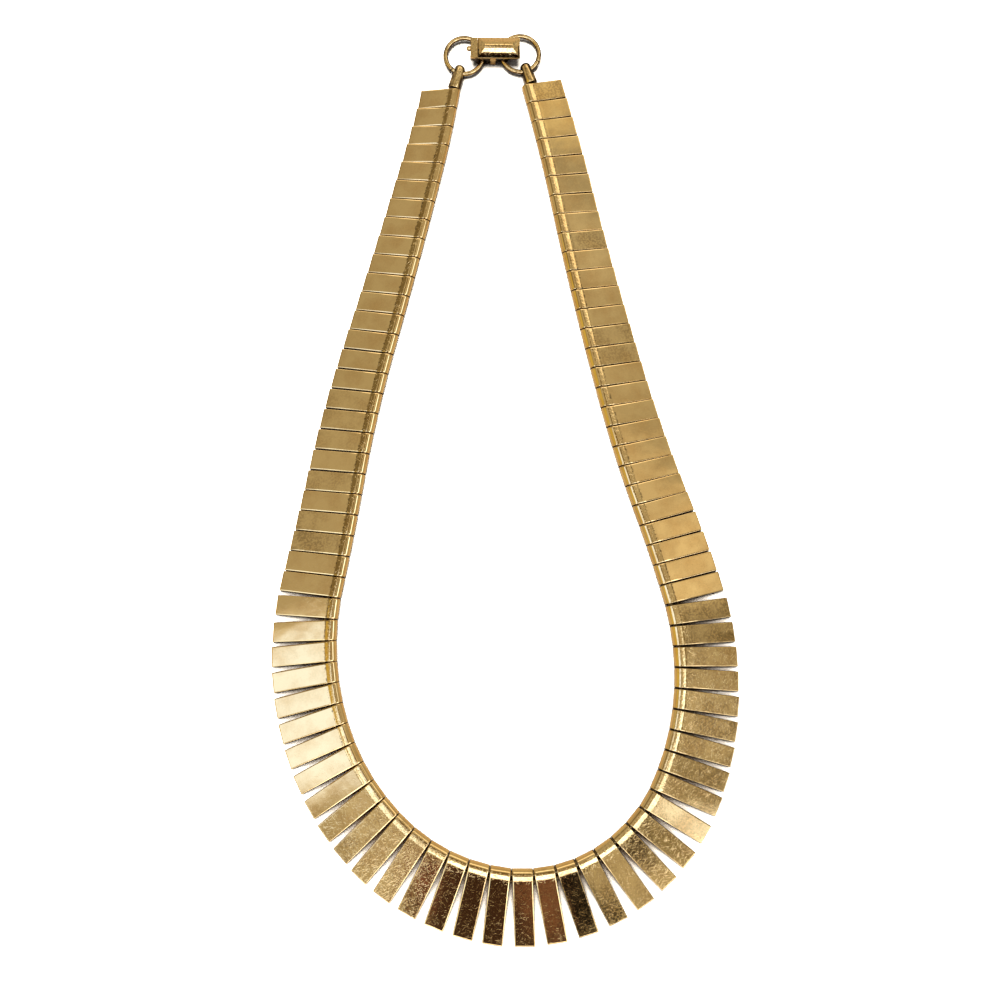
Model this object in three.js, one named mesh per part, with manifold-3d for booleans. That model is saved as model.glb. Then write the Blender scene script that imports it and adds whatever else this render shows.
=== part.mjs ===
// Collar necklace of flat metal plates, lying open on a table.
// Eighty-seven hollow plates follow each other round the neck, long at the front and short at the
// back. Each has a rolled inner edge, a flat face that falls towards its outer end and turned-down
// sides. A link wire runs behind the rolls. Two end hooks, two rings and a box clasp close the loop.
// Millimetres, +Z up from the table, clasp towards +Y, front of the collar towards -Y.

import * as THREE from 'three';
import { mergeVertices } from 'three/addons/utils/BufferGeometryUtils.js';
import Module from 'manifold-3d';

const wasm = await Module();
wasm.setup();

// ---------------------------------------------------------------- driving dimensions

const plateCount = 87;
const frontLink = 43; // the plate at the middle of the front
const looseHalfCount = 20; // front plates to each side of it that are nodes of their own
const plateWidth = 4.28;
const wall = 0.45; // sheet thickness
const rollRadius = 1.4; // rolled inner edge
const coveReach = 2.9; // where the roll meets the flat face
const coveHeight = 2.15;
const outerHeight = 1.25;
const outerRound = 0.25; // softened top edge of the outer end
const footReach = 0.9; // the rolled edge stands on the table this far out
const clearance = 0.3;

const wireRadius = 0.4;
const wireReach = 3.1; // from the inner edge out to the link wire
const wireHeight = 0.95;

const ringWireRadius = 0.55;
const ringRadius = 4.35; // to the middle of the wire
const ringHeight = 1.4;

const hookRadius = 1.45;
const hookTipWidth = 0.78; // width at the tip as a share of the width at the base
const hookEyeRadius = 0.95;
const hookEndWall = 1.75; // from the middle of the ring wire to the tip of the hook
const hookGap = 0.4; // between the end plate and the foot of the hook
const leftHookReach = 1.5; // where the hooks stand on the end plates, out from the inner edge
const rightHookReach = 2.4;
const stemRadius = 0.4;
const stemHeight = 1.1;
const stemLength = 1.8;

const claspLength = 9.8;
const claspDepth = 5.0;
const claspUnderside = 3.15;
const claspEave = 4.1;
const claspRidge = 5.3;
const ridgeLength = 6.0;
const ridgeWidth = 0.7;
const tabUnderside = 0.4; // the tab between the two rings
const tabInset = 0.4;
const loopTop = 2.85; // top of the loops that hold the rings
const loopDepth = 2.6;
const loopReach = 1.35; // from the middle of the ring wire to the inner side of its loop
const loopOuterReach = 1.55;
const loopHoleRadius = 0.9;
const loopHoleSpread = 1.12; // the hole is wider along the clasp, for the curve of the ring
const loopHoleShift = 0.1;
const trayUnderside = 2.35; // clear above the rings
const trayHalfDepth = 2.25;
const trayInset = 0.5;
const tongueEndLength = 1.6;
const tongueTop = 3.9;
const knobRadius = 0.65;
const knobOut = 0.35; // how far the middle of the knob stands off the end of the tongue
const knobHeight = 3.3;
const bite = 0.1; // how far soldered parts run into each other

// How the chain lies, at the links where it changes: the direction of the inner edge, the lean of a
// plate's sides away from square (both in degrees), the distance to the next plate, and the length of
// the plate from its inner edge to its outer end.
const lay = [
  { link: 0, heading: -100.0, lean: 11.0, spacing: 4.66, reach: 8.85 },
  { link: 4, heading: -103.5, lean: 8.0, spacing: 4.58, reach: 9.80 },
  { link: 13, heading: -105.0, lean: 7.0, spacing: 4.64, reach: 11.35 },
  { link: 20, heading: -99.5, lean: 4.5, spacing: 4.68, reach: 12.75 },
  { link: 25, heading: -101.5, lean: 4.5, spacing: 4.72, reach: 13.65 },
  { link: 26, heading: -97.0, lean: 3.0, spacing: 4.66, reach: 13.85 },
  { link: 27, heading: -92.5, lean: 4.5, spacing: 4.58, reach: 14.05 },
  { link: 28, heading: -88.0, lean: 3.5, spacing: 4.52, reach: 14.30 },
  { link: 32, heading: -70.0, lean: 3.5, spacing: 4.52, reach: 14.95 },
  { link: 37, heading: -43.5, lean: 3.0, spacing: 4.56, reach: 16.10 },
  { link: 42, heading: -9.0, lean: 2.5, spacing: 4.66, reach: 16.55 },
  { link: 47, heading: 34.5, lean: 1.5, spacing: 4.58, reach: 16.10 },
  { link: 51, heading: 66.0, lean: 0.5, spacing: 4.52, reach: 15.45 },
  { link: 56, heading: 89.0, lean: -2.5, spacing: 4.52, reach: 14.20 },
  { link: 59, heading: 102.0, lean: -4.0, spacing: 4.6, reach: 13.80 },
  { link: 60, heading: 106.0, lean: -2.0, spacing: 4.62, reach: 13.55 },
  { link: 64, heading: 109.5, lean: -3.5, spacing: 4.68, reach: 12.85 },
  { link: 70, heading: 104.5, lean: -4.5, spacing: 4.66, reach: 11.85 },
  { link: 80, heading: 101.5, lean: -5.0, spacing: 4.54, reach: 10.20 },
  { link: 86, heading: 105.0, lean: -3.0, spacing: 4.52, reach: 9.35 },
];

// The closure, measured from the inner corner of the first plate.
const claspCentre = new THREE.Vector2(8.86, 9.1);
const leftRingCentre = new THREE.Vector2(0.88, 8.2);
const rightRingCentre = new THREE.Vector2(13.9, 8.75);

// ---------------------------------------------------------------- materials

function gold(colour, roughness) {
  return new THREE.MeshStandardMaterial({ color: colour, roughness, metalness: 1 });
}

const plateColour = 0xc9a45c;
const wireColour = 0x8a6a35;
const fittingColour = 0xb8954f;

// ---------------------------------------------------------------- solids

function toSolid(geometry) {
  const bare = geometry.index ? geometry.toNonIndexed() : geometry.clone();
  bare.deleteAttribute('normal');
  bare.deleteAttribute('uv');
  const merged = mergeVertices(bare, 1e-4);
  const mesh = new wasm.Mesh({
    numProp: 3,
    vertProperties: new Float32Array(merged.attributes.position.array),
    triVerts: new Uint32Array(merged.index.array),
  });
  return new wasm.Manifold(mesh);
}

function toGeometry(solid) {
  const mesh = solid.getMesh();
  const geometry = new THREE.BufferGeometry();
  geometry.setAttribute('position', new THREE.BufferAttribute(mesh.vertProperties, 3));
  geometry.setIndex(new THREE.BufferAttribute(mesh.triVerts, 1));
  geometry.computeVertexNormals();
  return geometry;
}

function block(x0, x1, y0, y1, z0, z1) {
  const geometry = new THREE.BoxGeometry(x1 - x0, y1 - y0, z1 - z0);
  return geometry.translate((x0 + x1) / 2, (y0 + y1) / 2, (z0 + z1) / 2);
}

function meshOf(name, geometry, colour, roughness) {
  const mesh = new THREE.Mesh(geometry, gold(colour, roughness));
  mesh.name = name;
  return mesh;
}

// ---------------------------------------------------------------- the line of the chain

function layAt(link) {
  const after = Math.max(1, lay.findIndex((row) => row.link >= link));
  const a = lay[after - 1];
  const b = lay[after];
  const t = (link - a.link) / (b.link - a.link);
  return {
    heading: THREE.MathUtils.degToRad(THREE.MathUtils.lerp(a.heading, b.heading, t)),
    lean: THREE.MathUtils.degToRad(THREE.MathUtils.lerp(a.lean, b.lean, t)),
    spacing: THREE.MathUtils.lerp(a.spacing, b.spacing, t),
    reach: THREE.MathUtils.lerp(a.reach, b.reach, t),
  };
}

// One entry per plate: where the gaps before and after it lie on the inner edge, and how it is turned.
function walkChain() {
  const links = [];
  let from = new THREE.Vector2(0, 0);
  for (let link = 0; link < plateCount; link++) {
    const { heading, lean, spacing, reach } = layAt(link);
    const along = new THREE.Vector2(Math.cos(heading), Math.sin(heading));
    const outward = new THREE.Vector2(along.y, -along.x);
    const to = from.clone().addScaledVector(along, spacing);
    links.push({ from, to, heading, lean, along, outward, reach });
    from = to;
  }
  return links;
}

const links = walkChain();

// A point of a plate in plan: so far along the chain from its middle, so far out from its inner edge.
function pointOn(link, alongBy, outwardBy) {
  const leaning = alongBy + Math.tan(link.lean) * outwardBy;
  const middle = link.from.clone().lerp(link.to, 0.5);
  return middle.addScaledVector(link.along, leaning).addScaledVector(link.outward, outwardBy);
}

// ---------------------------------------------------------------- plates

// Plates are drawn in their own frame: x along the chain, -y outward, z up. Extruding a shape of
// (outward, up) along this frame's x keeps the solid the right way round.
const alongChain = new THREE.Matrix4().makeBasis(
  new THREE.Vector3(0, -1, 0),
  new THREE.Vector3(0, 0, 1),
  new THREE.Vector3(-1, 0, 0),
);

function extrudeAlong(shape, width) {
  const geometry = new THREE.ExtrudeGeometry(shape, { depth: width, bevelEnabled: false, curveSegments: 1 });
  return geometry.translate(0, 0, -width / 2).applyMatrix4(alongChain);
}

function rollPoints(radius, fromAngle, toAngle, steps) {
  const points = [];
  for (let i = 0; i <= steps; i++) {
    const angle = THREE.MathUtils.degToRad(fromAngle + ((toAngle - fromAngle) * i) / steps);
    const out = rollRadius + radius * Math.cos(angle);
    points.push(new THREE.Vector2(out, rollRadius + radius * Math.sin(angle)));
  }
  return points;
}

function outerShape(reach) {
  return new THREE.Shape([
    new THREE.Vector2(reach, 0),
    new THREE.Vector2(reach, outerHeight - outerRound),
    new THREE.Vector2(reach - outerRound, outerHeight),
    new THREE.Vector2(coveReach, coveHeight),
    ...rollPoints(rollRadius, 48, 228, 6),
    new THREE.Vector2(footReach, 0),
  ]);
}

function hollowShape(reach) {
  return new THREE.Shape([
    new THREE.Vector2(reach - wall, -1),
    new THREE.Vector2(reach - wall, outerHeight - wall),
    new THREE.Vector2(coveReach, coveHeight - wall),
    ...rollPoints(rollRadius - wall, 60, 200, 3),
    new THREE.Vector2(footReach + wall, -1),
  ]);
}

// The inner edge and outer end stay square to each other while the sides lean, so the row of outer
// ends keeps a smooth line.
function leanSides(geometry, lean) {
  return geometry.applyMatrix4(new THREE.Matrix4().makeShear(0, 0, -Math.tan(lean), 0, 0, 0));
}

function plateSolid(link) {
  const outside = toSolid(extrudeAlong(outerShape(link.reach), plateWidth));
  const inside = toSolid(extrudeAlong(hollowShape(link.reach), plateWidth - 2 * wall));
  return outside.subtract(inside);
}

function wireHole() {
  const radius = wireRadius + clearance;
  const hole = new THREE.CylinderGeometry(radius, radius, plateWidth + 2, 6);
  return toSolid(hole.rotateZ(Math.PI / 2).translate(0, -wireReach, wireHeight));
}

function placeAtLink(object, link) {
  const middle = pointOn(link, 0, 0);
  object.position.set(middle.x, middle.y, 0);
  object.rotation.z = link.heading;
  return object;
}

function frontPlate(link, name) {
  const threaded = plateSolid(link).subtract(wireHole());
  const geometry = leanSides(toGeometry(threaded), link.lean);
  return placeAtLink(meshOf(name, geometry, plateColour, 0.25), link);
}

// The link wire runs through the holes of the front plates, from the first one's side to the last's.
function linkWire(first, last) {
  const points = [pointOn(links[first], -plateWidth / 2, wireReach)];
  for (let i = first; i <= last; i++) {
    points.push(pointOn(links[i], 0, wireReach));
  }
  points.push(pointOn(links[last], plateWidth / 2, wireReach));
  const curve = new THREE.CatmullRomCurve3(points.map((p) => new THREE.Vector3(p.x, p.y, wireHeight)));
  const section = new THREE.Shape();
  section.absarc(0, 0, wireRadius, 0, Math.PI * 2);
  const steps = last - first + 1;
  const geometry = new THREE.ExtrudeGeometry(section, { extrudePath: curve, steps, curveSegments: 3 });
  return meshOf('link_wire', toGeometry(toSolid(geometry)), wireColour, 0.4);
}

// Between the short plates only the stretch of wire across each gap is there, soldered at both ends.
function linkBar(before, after) {
  const halfWall = wall / 2;
  const start = pointOn(before, plateWidth / 2 - halfWall, wireReach);
  const end = pointOn(after, halfWall - plateWidth / 2, wireReach);
  const across = end.clone().sub(start);
  const bar = new THREE.CylinderGeometry(wireRadius, wireRadius, across.length(), 6);
  const middle = start.lerp(end, 0.5);
  bar.rotateZ(across.angle() - Math.PI / 2).translate(middle.x, middle.y, wireHeight);
  return toSolid(bar);
}

function sideRun(name, first, last, socket) {
  let run = null;
  for (let i = first; i <= last; i++) {
    const carrier = placeAtLink(new THREE.Object3D(), links[i]);
    carrier.updateMatrix();
    const geometry = leanSides(toGeometry(plateSolid(links[i])), links[i].lean);
    const plate = toSolid(geometry.applyMatrix4(carrier.matrix));
    run = run ? run.add(linkBar(links[i - 1], links[i])).add(plate) : plate;
  }
  return meshOf(name, toGeometry(run.subtract(socket)), plateColour, 0.25);
}

// ---------------------------------------------------------------- end hooks and rings

// Where a hook stands on the free side of the end plate.
function hookSeat(link, atStart, reach, gap) {
  const half = plateWidth / 2 + gap;
  return pointOn(link, atStart ? -half : half, reach);
}

function hookSocket(link, atStart, reach) {
  const radius = stemRadius + clearance;
  const seat = hookSeat(link, atStart, reach, 0);
  const geometry = new THREE.CylinderGeometry(radius, radius, 2 * plateWidth, 8).rotateZ(Math.PI / 2);
  return toSolid(geometry.rotateZ(link.heading).translate(seat.x, seat.y, stemHeight));
}

function endHook(name, link, atStart, reach, ringCentre) {
  const seat = hookSeat(link, atStart, reach, hookGap);
  const toRing = ringCentre.clone().sub(seat);
  const eyeAt = toRing.length() - ringRadius;
  const length = eyeAt + hookEndWall;
  const profile = [
    new THREE.Vector2(0, 0),
    new THREE.Vector2(0.94 * hookRadius, 0),
    new THREE.Vector2(hookRadius, 0.1 * hookRadius),
    new THREE.Vector2(hookRadius, length - 0.8 * hookRadius),
    new THREE.Vector2(0.8 * hookRadius, length - 0.3 * hookRadius),
    new THREE.Vector2(0.42 * hookRadius, length - 0.05 * hookRadius),
    new THREE.Vector2(0, length),
  ];
  const body = new THREE.LatheGeometry(profile, 12).rotateZ(-Math.PI / 2);
  const position = body.attributes.position;
  for (let i = 0; i < position.count; i++) {
    const squeeze = THREE.MathUtils.lerp(1, hookTipWidth, position.getX(i) / length);
    position.setY(i, position.getY(i) * squeeze);
  }
  const eye = new THREE.CylinderGeometry(hookEyeRadius, hookEyeRadius, 4, 10).translate(eyeAt, 0, 0);
  const stem = new THREE.CylinderGeometry(stemRadius, stemRadius, stemLength + 1, 8);
  const stemTurn = link.heading + (atStart ? Math.PI : 0) - toRing.angle();
  stem.translate(0, -(stemLength - 1) / 2, 0).rotateZ(-Math.PI / 2).rotateZ(stemTurn);
  stem.translate(0, 0, stemHeight - hookRadius);
  const solid = toSolid(body).subtract(toSolid(eye)).add(toSolid(stem));
  const mesh = meshOf(name, toGeometry(solid), fittingColour, 0.25);
  mesh.position.set(seat.x, seat.y, hookRadius);
  mesh.rotation.z = toRing.angle();
  return mesh;
}

function ring(name, centre) {
  const geometry = new THREE.TorusGeometry(ringRadius, ringWireRadius, 6, 30);
  const mesh = meshOf(name, toGeometry(toSolid(geometry)), fittingColour, 0.25);
  mesh.position.set(centre.x, centre.y, ringHeight);
  return mesh;
}

// ---------------------------------------------------------------- clasp

// The clasp is drawn round its own middle; the rings pass through loops under its ends.
const leftWireX = leftRingCentre.x + ringRadius - claspCentre.x;
const rightWireX = rightRingCentre.x - ringRadius - claspCentre.x;
const leftRingY = leftRingCentre.y - claspCentre.y;
const rightRingY = rightRingCentre.y - claspCentre.y;

function ringLoopHole(x, ringSide) {
  const hole = new THREE.CylinderGeometry(loopHoleRadius, loopHoleRadius, claspDepth + 2, 10);
  return toSolid(hole.scale(loopHoleSpread, 1, 1).translate(x + ringSide * loopHoleShift, 0, ringHeight));
}

function claspBox() {
  const halfLength = claspLength / 2;
  const halfDepth = claspDepth / 2;
  const body = block(-halfLength, halfLength, -halfDepth, halfDepth, claspUnderside, claspEave);
  const lid = block(-halfLength, halfLength, -halfDepth, halfDepth, claspEave, claspRidge);
  const position = lid.attributes.position;
  for (let i = 0; i < position.count; i++) {
    if (position.getZ(i) > claspEave) {
      position.setX(i, (Math.sign(position.getX(i)) * ridgeLength) / 2);
      position.setY(i, (Math.sign(position.getY(i)) * ridgeWidth) / 2);
    }
  }
  const top = claspUnderside + bite;
  const tabLeft = leftWireX + loopReach + clearance;
  const tabRight = rightWireX - loopReach;
  const tab = block(tabLeft, tabRight, -halfDepth, halfDepth - tabInset, tabUnderside, top);
  const loop = block(tabRight - bite, rightWireX + loopOuterReach, rightRingY - loopDepth / 2,
    rightRingY + loopDepth / 2, 0, top);
  const tray = block(tabRight - bite, halfLength - trayInset, -trayHalfDepth, trayHalfDepth,
    trayUnderside, top);
  const solid = toSolid(body)
    .add(toSolid(lid))
    .add(toSolid(tab))
    .add(toSolid(loop))
    .add(toSolid(tray))
    .subtract(ringLoopHole(rightWireX, 1));
  const mesh = meshOf('clasp_box', toGeometry(solid), fittingColour, 0.3);
  mesh.position.set(claspCentre.x, claspCentre.y, 0);
  return mesh;
}

function claspTongue() {
  const outer = -claspLength / 2 - tongueEndLength;
  const inner = leftWireX + loopReach;
  const end = block(outer, -claspLength / 2 - clearance, -trayHalfDepth, trayHalfDepth,
    trayUnderside, tongueTop);
  const plate = block(outer, inner, -trayHalfDepth, trayHalfDepth, trayUnderside, loopTop);
  const loop = block(leftWireX - loopOuterReach, inner, leftRingY - loopDepth / 2,
    leftRingY + loopDepth / 2, 0, loopTop);
  const knob = new THREE.SphereGeometry(knobRadius, 10, 6).translate(outer - knobOut, 0, knobHeight);
  const solid = toSolid(end)
    .add(toSolid(plate))
    .add(toSolid(loop))
    .add(toSolid(knob))
    .subtract(ringLoopHole(leftWireX, -1));
  const mesh = meshOf('clasp_tongue', toGeometry(solid), fittingColour, 0.3);
  mesh.position.set(claspCentre.x, claspCentre.y, 0);
  return mesh;
}

// ---------------------------------------------------------------- assembly

const firstLoose = frontLink - looseHalfCount;
const lastLoose = frontLink + looseHalfCount;
const lastLink = plateCount - 1;

const pieces = new THREE.Group();
for (let i = firstLoose; i <= lastLoose; i++) {
  const number = String(i - firstLoose + 1).padStart(2, '0');
  pieces.add(frontPlate(links[i], `front_plate_${number}`));
}
const leftSocket = hookSocket(links[0], true, leftHookReach);
const rightSocket = hookSocket(links[lastLink], false, rightHookReach);
pieces.add(sideRun('left_side_plates', 0, firstLoose - 1, leftSocket));
pieces.add(sideRun('right_side_plates', lastLoose + 1, lastLink, rightSocket));
pieces.add(linkWire(firstLoose, lastLoose));
pieces.add(endHook('left_end_hook', links[0], true, leftHookReach, leftRingCentre));
pieces.add(endHook('right_end_hook', links[lastLink], false, rightHookReach, rightRingCentre));
pieces.add(ring('left_ring', leftRingCentre));
pieces.add(ring('right_ring', rightRingCentre));
pieces.add(claspBox());
pieces.add(claspTongue());

// The origin is under the middle of the whole necklace, on the table.
pieces.updateMatrixWorld(true);
const bounds = new THREE.Box3().setFromObject(pieces, true);
const centre = bounds.getCenter(new THREE.Vector3());
pieces.position.set(-centre.x, -centre.y, -bounds.min.z);

const necklace = new THREE.Group();
necklace.add(pieces);

export default necklace;
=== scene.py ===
import math
import random

import bmesh
import bpy
from mathutils import Matrix, Vector


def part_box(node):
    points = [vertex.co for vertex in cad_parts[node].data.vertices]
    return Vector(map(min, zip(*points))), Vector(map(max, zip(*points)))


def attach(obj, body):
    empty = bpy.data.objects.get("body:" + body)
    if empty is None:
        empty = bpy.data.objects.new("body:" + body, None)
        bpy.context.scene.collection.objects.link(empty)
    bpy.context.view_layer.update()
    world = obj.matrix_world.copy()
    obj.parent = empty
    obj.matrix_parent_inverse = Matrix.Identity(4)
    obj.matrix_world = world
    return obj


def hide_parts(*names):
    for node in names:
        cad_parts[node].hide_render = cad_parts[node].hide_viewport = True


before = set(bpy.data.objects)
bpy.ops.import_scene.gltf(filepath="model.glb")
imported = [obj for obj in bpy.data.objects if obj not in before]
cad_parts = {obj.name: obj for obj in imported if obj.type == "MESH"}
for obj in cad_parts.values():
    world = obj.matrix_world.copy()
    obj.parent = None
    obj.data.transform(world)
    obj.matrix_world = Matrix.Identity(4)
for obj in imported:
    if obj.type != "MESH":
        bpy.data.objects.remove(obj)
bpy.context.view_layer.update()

mm = 0.001
near = 0.01 * mm         # how close a point has to lie to count as being there
scene = bpy.context.scene


# ---- camera, floor, light

camera = {
    "place": (-0.00645, -0.04487, 0.3118),
    "tiltForward": 7.08,         # degrees
    "tiltSide": -0.96,
    "lens": 50.4,                # mm, on a sensor this wide
    "sensor": 36,
    "clip": (0.01, 50),
}


def makeCamera():
    lens = bpy.data.cameras.new("viewCamera")
    lens.lens = camera["lens"]
    lens.sensor_width = camera["sensor"]
    lens.clip_start, lens.clip_end = camera["clip"]
    holder = bpy.data.objects.new("viewCamera", lens)
    scene.collection.objects.link(holder)
    sideways = Matrix.Rotation(math.radians(camera["tiltSide"]), 4, "Y")
    turn = sideways @ Matrix.Rotation(math.radians(camera["tiltForward"]), 4, "X")
    holder.matrix_world = Matrix.Translation(camera["place"]) @ turn
    scene.camera = holder


def linear(hexColour, strength=1.0):
    parts = [int(hexColour[i:i + 2], 16) / 255 for i in (1, 3, 5)]
    straight = [c / 12.92 if c <= 0.04045 else ((c + 0.055) / 1.055) ** 2.4 for c in parts]
    return tuple(c * strength for c in straight) + (1,)


# settings that many nodes share; a blend takes its colours at 6 and 7 and gives the result at 2
blend = {"data_type": "RGBA"}
easing = {"interpolation_type": "SMOOTHSTEP"}
plus = {"operation": "ADD"}
times = {"operation": "MULTIPLY"}
timesPlus = {"operation": "MULTIPLY_ADD"}
larger = {"operation": "MAXIMUM"}


def addNode(tree, kind, settings=None):
    # settings go by a property's name, or by an input's name or number; a socket among them is linked,
    # and so is a node, by its first output
    node = tree.nodes.new(kind)
    for name, value in (settings or {}).items():
        if isinstance(value, bpy.types.Node):
            value = value.outputs[0]
        if isinstance(value, bpy.types.NodeSocket):
            tree.links.new(value, node.inputs[name])
        elif isinstance(name, str) and hasattr(node, name):
            setattr(node, name, value)
        else:
            node.inputs[name].default_value = value
    return node


# What the polished metal mirrors, seen by the direction it looks in: x to the right, y to the back,
# 0, 0 straight up, 1 at the horizon. Later cards hang in front of earlier ones.
studio = {
    "room": ("#bdbdbb", 1.0),
    # how much the room's brightness wanders, as a share, left and right, and from where to where it grows
    "clutter": (0.05, 0.26),
    "clutterGrows": (-0.2, 0.15),
    "clutterPattern": {"Scale": 12.0, "Detail": 3.0},
    "clutterSwing": {"From Min": 0.3, "From Max": 0.7, "To Min": -1.0, "To Max": 1.0},
    # middle, half sizes, turn in degrees, colour, strength, softness of the edge as a share
    "cards": {
        "paleWallBehind": ((0.05, 0.80), (0.62, 0.24), 0, "#c6c3b9", 1.0, 0.6),
        "skylightBehind": ((0.0, 0.66), (0.42, 0.10), 0, "#f4f5ff", 2.0, 0.5),
        "skylightRight": ((0.47, 0.52), (0.24, 0.09), -45, "#f4f5ff", 2.0, 0.5),
        "skylightLeft": ((-0.50, 0.52), (0.24, 0.09), 45, "#f4f5ff", 2.0, 0.5),
        "doorwayLeft": ((-0.52, 0.36), (0.16, 0.36), -12, "#8f8873", 0.8, 0.6),
        "paleShelfRight": ((0.29, 0.42), (0.10, 0.12), 0, "#bfc1c4", 1.0, 0.8),
        "paleShelfEnd": ((0.262, 0.462), (0.06, 0.045), 0, "#e6e3d6", 1.17, 0.6),
        "lampBracket": ((0.06, 0.14), (0.11, 0.16), 0, "#7e7254", 0.9, 0.5),
        "windowFrame": ((0.44, -0.03), (0.05, 0.17), 0, "#7d7050", 0.9, 0.5),
        "woodLeft": ((-0.76, -0.06), (0.25, 0.20), 0, "#dbcf84", 1.0, 0.4),
        "woodFront": ((0.0, -0.88), (0.50, 0.15), 0, "#3c281c", 0.8, 0.4),
        "shadeRight": ((0.32, 0.02), (0.06, 0.08), 0, "#aeb0b4", 1.0, 0.4),
        "paleScreenRight": ((0.362, -0.035), (0.045, 0.085), 0, "#cecfd3", 1.0, 0.5),
        "curtainRight": ((0.330, 0.162), (0.07, 0.072), 0, "#dcdad8", 1.08, 0.35),
        "curtainEdge": ((0.315, 0.113), (0.07, 0.024), 0, "#dadada", 1.6, 0.5),
        "glowRight": ((0.68, -0.13), (0.14, 0.32), -12, "#f2f2f0", 1.0, 0.35),
        "glowFront": ((0.10, -0.60), (0.56, 0.155), 6, "#f2f2f0", 1.0, 0.3),
        "glowFrontLeft": ((-0.41, -0.36), (0.13, 0.27), 24, "#f2f2f0", 1.0, 0.35),
        "glowLeft": ((-0.26, -0.062), (0.235, 0.126), 0, "#f2f2f0", 1.0, 0.3),
        "windowRight": ((0.68, -0.13), (0.105, 0.28), -12, "#b9ceff", 4.6, 0.3),
        "windowFront": ((0.10, -0.60), (0.52, 0.13), 6, "#c9d6ff", 6.0, 0.25),
        "windowFrontRight": ((0.46, -0.36), (0.15, 0.12), -38, "#c9d6ff", 5.0, 0.3),
        "windowFrontLeft": ((-0.41, -0.36), (0.10, 0.24), 24, "#b4ccff", 3.8, 0.4),
        "windowLeft": ((-0.25, -0.066), (0.215, 0.114), 0, "#a8c0ff", 3.2, 0.3),
        "paleScreenLeft": ((-0.196, -0.248), (0.075, 0.045), -42, "#d8dbe4", 1.0, 0.5),
        "darkDrape": ((0.0, -0.325), (0.155, 0.105), 0, "#3f2e28", 1.0, 0.25),
        "roseDrape": ((-0.131, -0.301), (0.031, 0.05), 0, "#8e6666", 0.9, 0.6),
        "tanDrape": ((0.072, -0.335), (0.050, 0.05), 0, "#86665f", 1.0, 0.5),
        "blackFlag": ((0.128, -0.325), (0.026, 0.06), 20, "#1d1a1c", 1.0, 0.4),
        "greyFlag": ((0.250, -0.252), (0.030, 0.025), -45, "#5a5247", 0.9, 0.8),
        "oliveFlag": ((0.310, -0.244), (0.034, 0.022), -38, "#8e8a78", 1.0, 0.7),
        "smallLamp": ((0.366, -0.222), (0.044, 0.032), -31, "#c6d5ff", 2.3, 0.3),
    },
    "backdropSeen": "#ffffff",
    "skyOnFloor": 0.14,          # how strongly the room lights the card
    "sun": 10.0,
    "sunSoftness": 30.0,         # degrees
    "sunFrom": (-0.08, 0.24, 0.97),
    "floorSize": 8,
    "floorLevel": -0.02 * mm,
    "card": "#f5eddf",
    # the card as the metal mirrors it is darker than as it is seen straight on: a painted shade
    "cardMirrored": "#837a6d",
    "cardRoughness": 0.9,
    # painted shade in the slits between the plates: the share of open sky at which the card's colour goes
    # from brown to tan, and from tan to pale
    "slitTans": (0.12, 0.32),
    "slitClears": (0.28, 0.52),
    "slitShadeBrown": "#1c130b",
    "slitTan": "#54422f",
    "slitReach": 3 * mm,
}


def makeWorld():
    world = bpy.data.worlds.new("studio")
    scene.world = world
    world.use_nodes = True
    tree = world.node_tree
    tree.nodes.clear()
    way = addNode(tree, "ShaderNodeTexCoord").outputs["Generated"]
    seen = linear(*studio["room"])
    for name, (middle, half, turn, colour, strength, soft) in studio["cards"].items():
        # the third size is so large that height doesn't count
        fitted = addNode(tree, "ShaderNodeMapping", {
            "vector_type": "TEXTURE", "label": name, "Vector": way, "Location": (*middle, 0),
            "Rotation": (0, 0, math.radians(turn)), "Scale": (*half, 1e6)})
        away = addNode(tree, "ShaderNodeVectorMath", {"operation": "LENGTH", 0: fitted})
        cover = addNode(tree, "ShaderNodeMapRange", {
            **easing, "From Min": 1 + soft / 2, "From Max": 1 - soft / 2, "Value": away.outputs["Value"]})
        seen = addNode(tree, "ShaderNodeMix", {
            **blend, 0: cover, 6: seen, 7: linear(colour, strength)}).outputs[2]
    patches = addNode(tree, "ShaderNodeTexNoise", {**studio["clutterPattern"], "Vector": way})
    swing = addNode(tree, "ShaderNodeMapRange", {**studio["clutterSwing"], "Value": patches})
    toSide = addNode(tree, "ShaderNodeSeparateXYZ", {0: way}).outputs[0]
    growsFrom, growsTo = studio["clutterGrows"]
    leftShare, rightShare = studio["clutter"]
    share = addNode(tree, "ShaderNodeMapRange", {
        "From Min": growsFrom, "From Max": growsTo,
        "To Min": leftShare, "To Max": rightShare, "Value": toSide})
    wander = addNode(tree, "ShaderNodeMath", {**timesPlus, 0: swing, 1: share, 2: 1.0})
    uneven = addNode(tree, "ShaderNodeVectorMath", {"operation": "SCALE", 0: seen, "Scale": wander})
    ray = addNode(tree, "ShaderNodeLightPath")
    onFloor = addNode(tree, "ShaderNodeMix", {
        **blend, 0: ray.outputs["Is Diffuse Ray"], 6: uneven,
        7: linear("#ffffff", studio["skyOnFloor"])})
    shown = addNode(tree, "ShaderNodeMix", {
        **blend, 0: ray.outputs["Is Camera Ray"], 6: onFloor.outputs[2],
        7: linear(studio["backdropSeen"])})
    light = addNode(tree, "ShaderNodeBackground", {"Color": shown.outputs[2]})
    addNode(tree, "ShaderNodeOutputWorld", {"Surface": light})


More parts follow.
